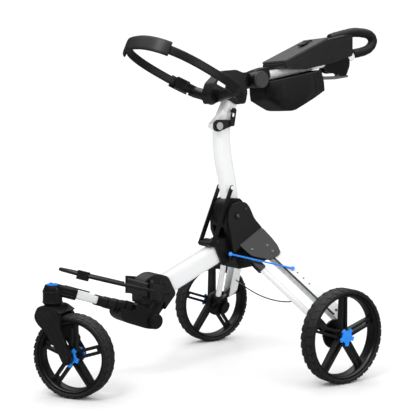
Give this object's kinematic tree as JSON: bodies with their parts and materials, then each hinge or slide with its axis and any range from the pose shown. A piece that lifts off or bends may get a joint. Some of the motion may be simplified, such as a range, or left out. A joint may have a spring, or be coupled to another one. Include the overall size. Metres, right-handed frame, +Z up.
{
  "type": "folding_three_wheel_golf_push_cart",
  "caption": "Folding three-wheel golf push cart: main tube and fold-up mast, sprung steering front wheel, splayed rear legs, bag straps, console, net bag and loop handle",
  "frame": {"origin": "middle of the bounding box, on the ground the wheels stand on", "axes": "+Z up; the nose with the swivel wheel points along -Y and the handle along +Y; +X is the cart's left"},
  "size_m": [0.752, 1.3128, 1.1341],
  "materials": {
    "white_gloss_paint": "gloss",
    "black_plastic": "satin",
    "charcoal_plastic": "satin",
    "grey_plastic": "satin",
    "blue_accent": "gloss",
    "black_rubber": "matte",
    "black_net": "matte",
    "silver_alloy": "satin",
    "tyre_rubber": "matte"
  },
  "bodies": {
    "frame": {"main_tube": "white_gloss_paint", "hub_housing": "black_plastic", "hub_cover_left": "charcoal_plastic", "hub_cover_right": "charcoal_plastic", "mast_pivot_bolt": "black_plastic", "bag_bracket": "charcoal_plastic", "lower_strap": "black_rubber", "lower_strap_clip": "black_plastic", "front_hinge_bolt": "black_plastic", "brake_cable": "black_plastic"},
    "latch": {"fold_latch": "black_plastic"},
    "front_arm": {"front_knuckle": "black_plastic", "front_arm_tube": "white_gloss_paint", "steering_head": "black_plastic"},
    "sleeve": {"lock_sleeve": "black_plastic"},
    "swivel_cap": {"swivel_lock": "blue_accent"},
    "caster": {"fork": "black_plastic", "front_axle": "black_plastic"},
    "front_wheel": {"front_tyre": "tyre_rubber", "front_rim": "black_plastic", "front_hub": "blue_accent"},
    "mast": {"mast": "white_gloss_paint", "mast_foot": "black_plastic"},
    "collar": {"sliding_collar": "black_plastic"},
    "struts": {"strut_left": "black_plastic", "strut_right": "black_plastic"},
    "upper": {"upper_tube": "white_gloss_paint", "upper_cradle": "black_plastic", "upper_strap": "black_rubber", "strap_pad": "black_plastic", "strap_buckle": "black_plastic"},
    "lever": {"lock_lever": "charcoal_plastic"},
    "link": {"lock_link": "black_plastic"},
    "handle": {"stem_clevis": "black_plastic", "handle_stem": "white_gloss_paint", "console_base": "charcoal_plastic", "net_bag": "black_net", "handle_grip": "black_rubber", "lever_bracket": "black_plastic"},
    "knob": {"angle_knob": "grey_plastic"},
    "lid": {"console_lid": "grey_plastic"},
    "brake": {"brake_lever": "silver_alloy"},
    "tie_left": {"tie_rod_left": "blue_accent"},
    "leg_left": {"leg_channel_left": "white_gloss_paint"},
    "tube_left": {"leg_tube_left": "white_gloss_paint", "leg_hub_socket_left": "black_plastic", "leg_wheel_socket_left": "black_plastic"},
    "carrier_left": {"wheel_carrier_left": "black_plastic"},
    "wheel_left": {"rear_tyre_left": "tyre_rubber", "rear_rim_left": "black_plastic"},
    "cap_left": {"hub_cap_left": "blue_accent"},
    "tie_right": {"tie_rod_right": "blue_accent"},
    "leg_right": {"leg_channel_right": "white_gloss_paint"},
    "tube_right": {"leg_tube_right": "white_gloss_paint", "leg_hub_socket_right": "black_plastic", "leg_wheel_socket_right": "black_plastic"},
    "carrier_right": {"wheel_carrier_right": "black_plastic"},
    "wheel_right": {"rear_tyre_right": "tyre_rubber", "rear_rim_right": "black_plastic"},
    "cap_right": {"hub_cap_right": "blue_accent"}
  },
  "joints": [
    {"name": "mast_fold", "type": "hinge", "parent": "frame", "child": "mast", "pos_m": [0, 0.01841, 0.499], "axis": [1, 0, 0], "range_deg": [0, 92], "deforming": ["upper_strap", "strap_pad", "brake_cable"]},
    {"name": "collar_slide", "type": "slide", "parent": "frame", "child": "collar", "axis": [0, -0.91, -0.4147], "range_m": [0, 0.169]},
    {"name": "strut_turn", "type": "hinge", "parent": "collar", "child": "struts", "pos_m": [0, -0.06425, 0.40977], "axis": [1, 0, 0], "range_deg": [-23, 0]},
    {"name": "tie_turn_left", "type": "hinge", "parent": "collar", "child": "tie_left", "pos_m": [0.05149, -0.00612, 0.37818], "axis": [0.6616, -0.2736, 0.6982], "range_deg": [0, 25]},
    {"name": "leg_fold_left", "type": "hinge", "parent": "frame", "child": "leg_left", "pos_m": [0.075, 0.12141, 0.393], "axis": [-0.7368, 0.3563, -0.5746], "range_deg": [0, 72.1]},
    {"name": "tube_fold_left", "type": "hinge", "parent": "frame", "child": "tube_left", "pos_m": [0.07483, 0.06352, 0.35733], "axis": [-0.7368, 0.3563, -0.5746], "range_deg": [0, 72.1]},
    {"name": "carrier_turn_left", "type": "hinge", "parent": "leg_left", "child": "carrier_left", "pos_m": [0.29001, 0.24388, 0.19326], "axis": [-0.7368, 0.3563, -0.5746], "range_deg": [-72.1, 0]},
    {"name": "wheel_spin_left", "type": "hinge", "parent": "carrier_left", "child": "wheel_left", "pos_m": [0.3485, 0.20241, 0.146], "axis": [1, 0, 0], "continuous": true},
    {"name": "cap_press_left", "type": "slide", "parent": "wheel_left", "child": "cap_left", "axis": [-1, 0, 0], "range_m": [0, 0.003], "stiffness_N_per_m": 600},
    {"name": "tie_turn_right", "type": "hinge", "parent": "collar", "child": "tie_right", "pos_m": [-0.05149, -0.00612, 0.37818], "axis": [0.6616, 0.2736, -0.6982], "range_deg": [0, 25]},
    {"name": "leg_fold_right", "type": "hinge", "parent": "frame", "child": "leg_right", "pos_m": [-0.075, 0.12141, 0.393], "axis": [-0.7368, -0.3563, 0.5746], "range_deg": [0, 72.1]},
    {"name": "tube_fold_right", "type": "hinge", "parent": "frame", "child": "tube_right", "pos_m": [-0.07483, 0.06352, 0.35733], "axis": [-0.7368, -0.3563, 0.5746], "range_deg": [0, 72.1]},
    {"name": "carrier_turn_right", "type": "hinge", "parent": "leg_right", "child": "carrier_right", "pos_m": [-0.29001, 0.24388, 0.19326], "axis": [-0.7368, -0.3563, 0.5746], "range_deg": [-72.1, 0]},
    {"name": "wheel_spin_right", "type": "hinge", "parent": "carrier_right", "child": "wheel_right", "pos_m": [-0.3485, 0.20241, 0.146], "axis": [1, 0, 0], "continuous": true},
    {"name": "cap_press_right", "type": "slide", "parent": "wheel_right", "child": "cap_right", "axis": [1, 0, 0], "range_m": [0, 0.003], "stiffness_N_per_m": 600},
    {"name": "latch_press", "type": "slide", "parent": "frame", "child": "latch", "axis": [0, -1, 0], "range_m": [0, 0.003], "stiffness_N_per_m": 600},
    {"name": "front_arm_fold", "type": "hinge", "parent": "frame", "child": "front_arm", "pos_m": [0, -0.27759, 0.188], "axis": [1, 0, 0], "range_deg": [0, 150]},
    {"name": "sleeve_slide", "type": "slide", "parent": "front_arm", "child": "sleeve", "axis": [0, -0.95, 0.3123], "range_m": [0, 0.025]},
    {"name": "swivel_lock_turn", "type": "hinge", "parent": "front_arm", "child": "swivel_cap", "pos_m": [0, -0.60059, 0.32], "axis": [0, 0, 1], "range_deg": [0, 90]},
    {"name": "fork_swivel", "type": "hinge", "parent": "front_arm", "child": "caster", "pos_m": [0, -0.60059, 0.27], "axis": [0, 0, 1], "continuous": true},
    {"name": "front_wheel_spin", "type": "hinge", "parent": "caster", "child": "front_wheel", "pos_m": [0.05686, -0.56151, 0.1207], "axis": [0.5664, -0.8241, 0], "continuous": true},
    {"name": "handle_fold", "type": "hinge", "parent": "mast", "child": "upper", "pos_m": [0, -0.04159, 0.783], "axis": [-1, 0, 0], "range_deg": [-110, 0], "deforming": ["upper_strap", "strap_pad"]},
    {"name": "lever_lift", "type": "hinge", "parent": "upper", "child": "lever", "pos_m": [0, -0.04159, 0.783], "axis": [1, 0, 0], "range_deg": [0, 15]},
    {"name": "link_turn", "type": "hinge", "parent": "lever", "child": "link", "pos_m": [0.034, 0.00641, 0.793], "axis": [1, 0, 0], "range_deg": [-30, 0]},
    {"name": "handle_angle", "type": "hinge", "parent": "upper", "child": "handle", "pos_m": [0, 0.10541, 0.933], "axis": [1, 0, 0], "range_deg": [-30, 45]},
    {"name": "angle_knob_turn", "type": "hinge", "parent": "handle", "child": "knob", "pos_m": [0.054, 0.10541, 0.933], "axis": [1, 0, 0], "range_deg": [0, 90]},
    {"name": "lid_open", "type": "hinge", "parent": "handle", "child": "lid", "pos_m": [0, 0.38041, 1.08], "axis": [-1, 0, 0], "range_deg": [0, 100]},
    {"name": "brake_squeeze", "type": "hinge", "parent": "handle", "child": "brake", "pos_m": [0, 0.48641, 0.982], "axis": [-1, 0, 0], "range_deg": [0, 10], "stiffness_Nm_per_rad": 1.5}
  ],
  "couplings": [
    {"joint": "collar_slide", "follows": "mast_fold", "m_per_rad": 0.10475},
    {"joint": "strut_turn", "follows": "mast_fold", "ratio": -0.249},
    {"joint": "tie_turn_left", "follows": "mast_fold", "ratio": 0.266},
    {"joint": "leg_fold_left", "follows": "mast_fold", "ratio": 0.7826},
    {"joint": "tube_fold_left", "follows": "mast_fold", "ratio": 0.7826},
    {"joint": "carrier_turn_left", "follows": "mast_fold", "ratio": -0.7826},
    {"joint": "tie_turn_right", "follows": "mast_fold", "ratio": 0.266},
    {"joint": "leg_fold_right", "follows": "mast_fold", "ratio": 0.7826},
    {"joint": "tube_fold_right", "follows": "mast_fold", "ratio": 0.7826},
    {"joint": "carrier_turn_right", "follows": "mast_fold", "ratio": -0.7826},
    {"joint": "link_turn", "follows": "lever_lift", "ratio": -1.9}
  ]
}
